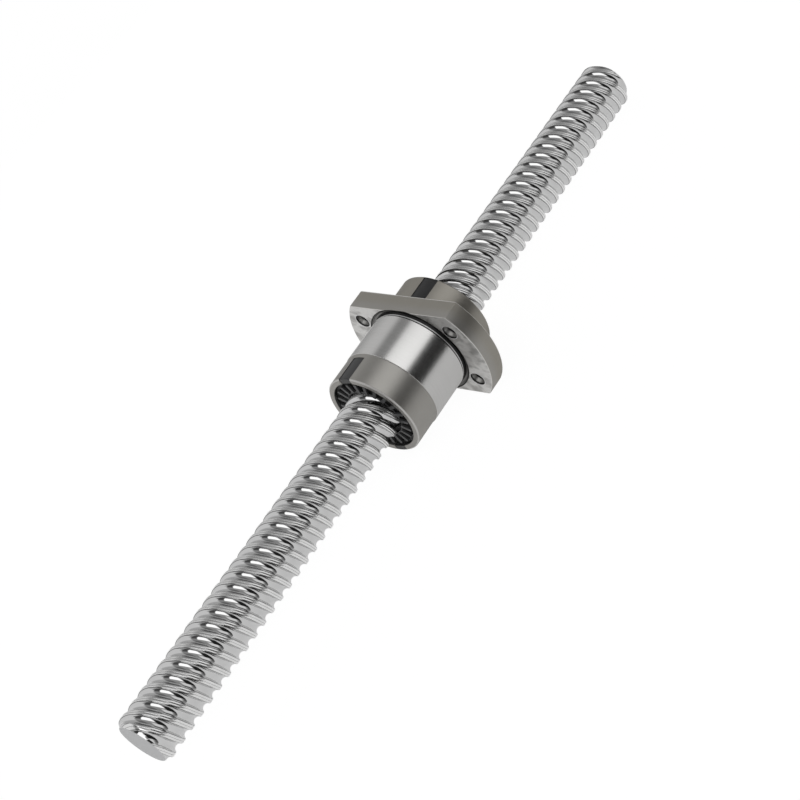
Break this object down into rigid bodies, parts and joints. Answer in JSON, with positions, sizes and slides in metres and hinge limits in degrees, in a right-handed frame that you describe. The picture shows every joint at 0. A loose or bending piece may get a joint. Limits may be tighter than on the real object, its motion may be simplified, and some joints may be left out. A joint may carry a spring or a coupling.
{
  "type": "ball screw",
  "caption": "Rolled ball screw with a high-lead thread, running through a ball nut with a two-flat flange, end deflectors, ball circuits, wipers and ribbed end covers.",
  "frame": {"origin": "on the screw's axis, in the plane of the flange's seat face, at the centre of its four bolt holes", "axes": "+X along the screw from the nut's long body through the flange towards the nut's collar; +Z square to the flange's flats; +Y along the flange's long side"},
  "size_m": [0.488, 0.092, 0.06],
  "materials": {
    "screw_steel": "polished",
    "nut_steel": "ground",
    "ball_steel": "polished",
    "deflector_plastic": "moulded",
    "cover_plastic": "moulded",
    "wiper_plastic": "moulded",
    "spring_steel": "drawn"
  },
  "bodies": {
    "nut": {"nut_body": "nut_steel", "front_deflector_a": "deflector_plastic", "front_deflector_b": "deflector_plastic", "rear_deflector_a": "deflector_plastic", "rear_deflector_b": "deflector_plastic", "front_end_cover": "cover_plastic", "rear_end_cover": "cover_plastic", "front_wiper": "wiper_plastic", "rear_wiper": "wiper_plastic", "loaded_balls_a": "ball_steel", "loaded_balls_b": "ball_steel", "return_balls_a": "ball_steel", "return_balls_b": "ball_steel"},
    "wiper_springs": {"front_wiper_spring": "spring_steel", "rear_wiper_spring": "spring_steel"},
    "screw": {"screw_shaft": "screw_steel"}
  },
  "joints": [
    {"name": "screw_turn", "type": "hinge", "parent": "nut", "child": "wiper_springs", "pos_m": [0, 0, 0], "axis": [1, 0, 0], "range_deg": [-2070, 2070]},
    {"name": "screw_travel", "type": "slide", "parent": "wiper_springs", "child": "screw", "axis": [1, 0, 0], "range_m": [-0.1841, 0.1841]}
  ],
  "couplings": [
    {"joint": "screw_travel", "follows": "screw_turn", "m_per_rad": 0.005093}
  ]
}
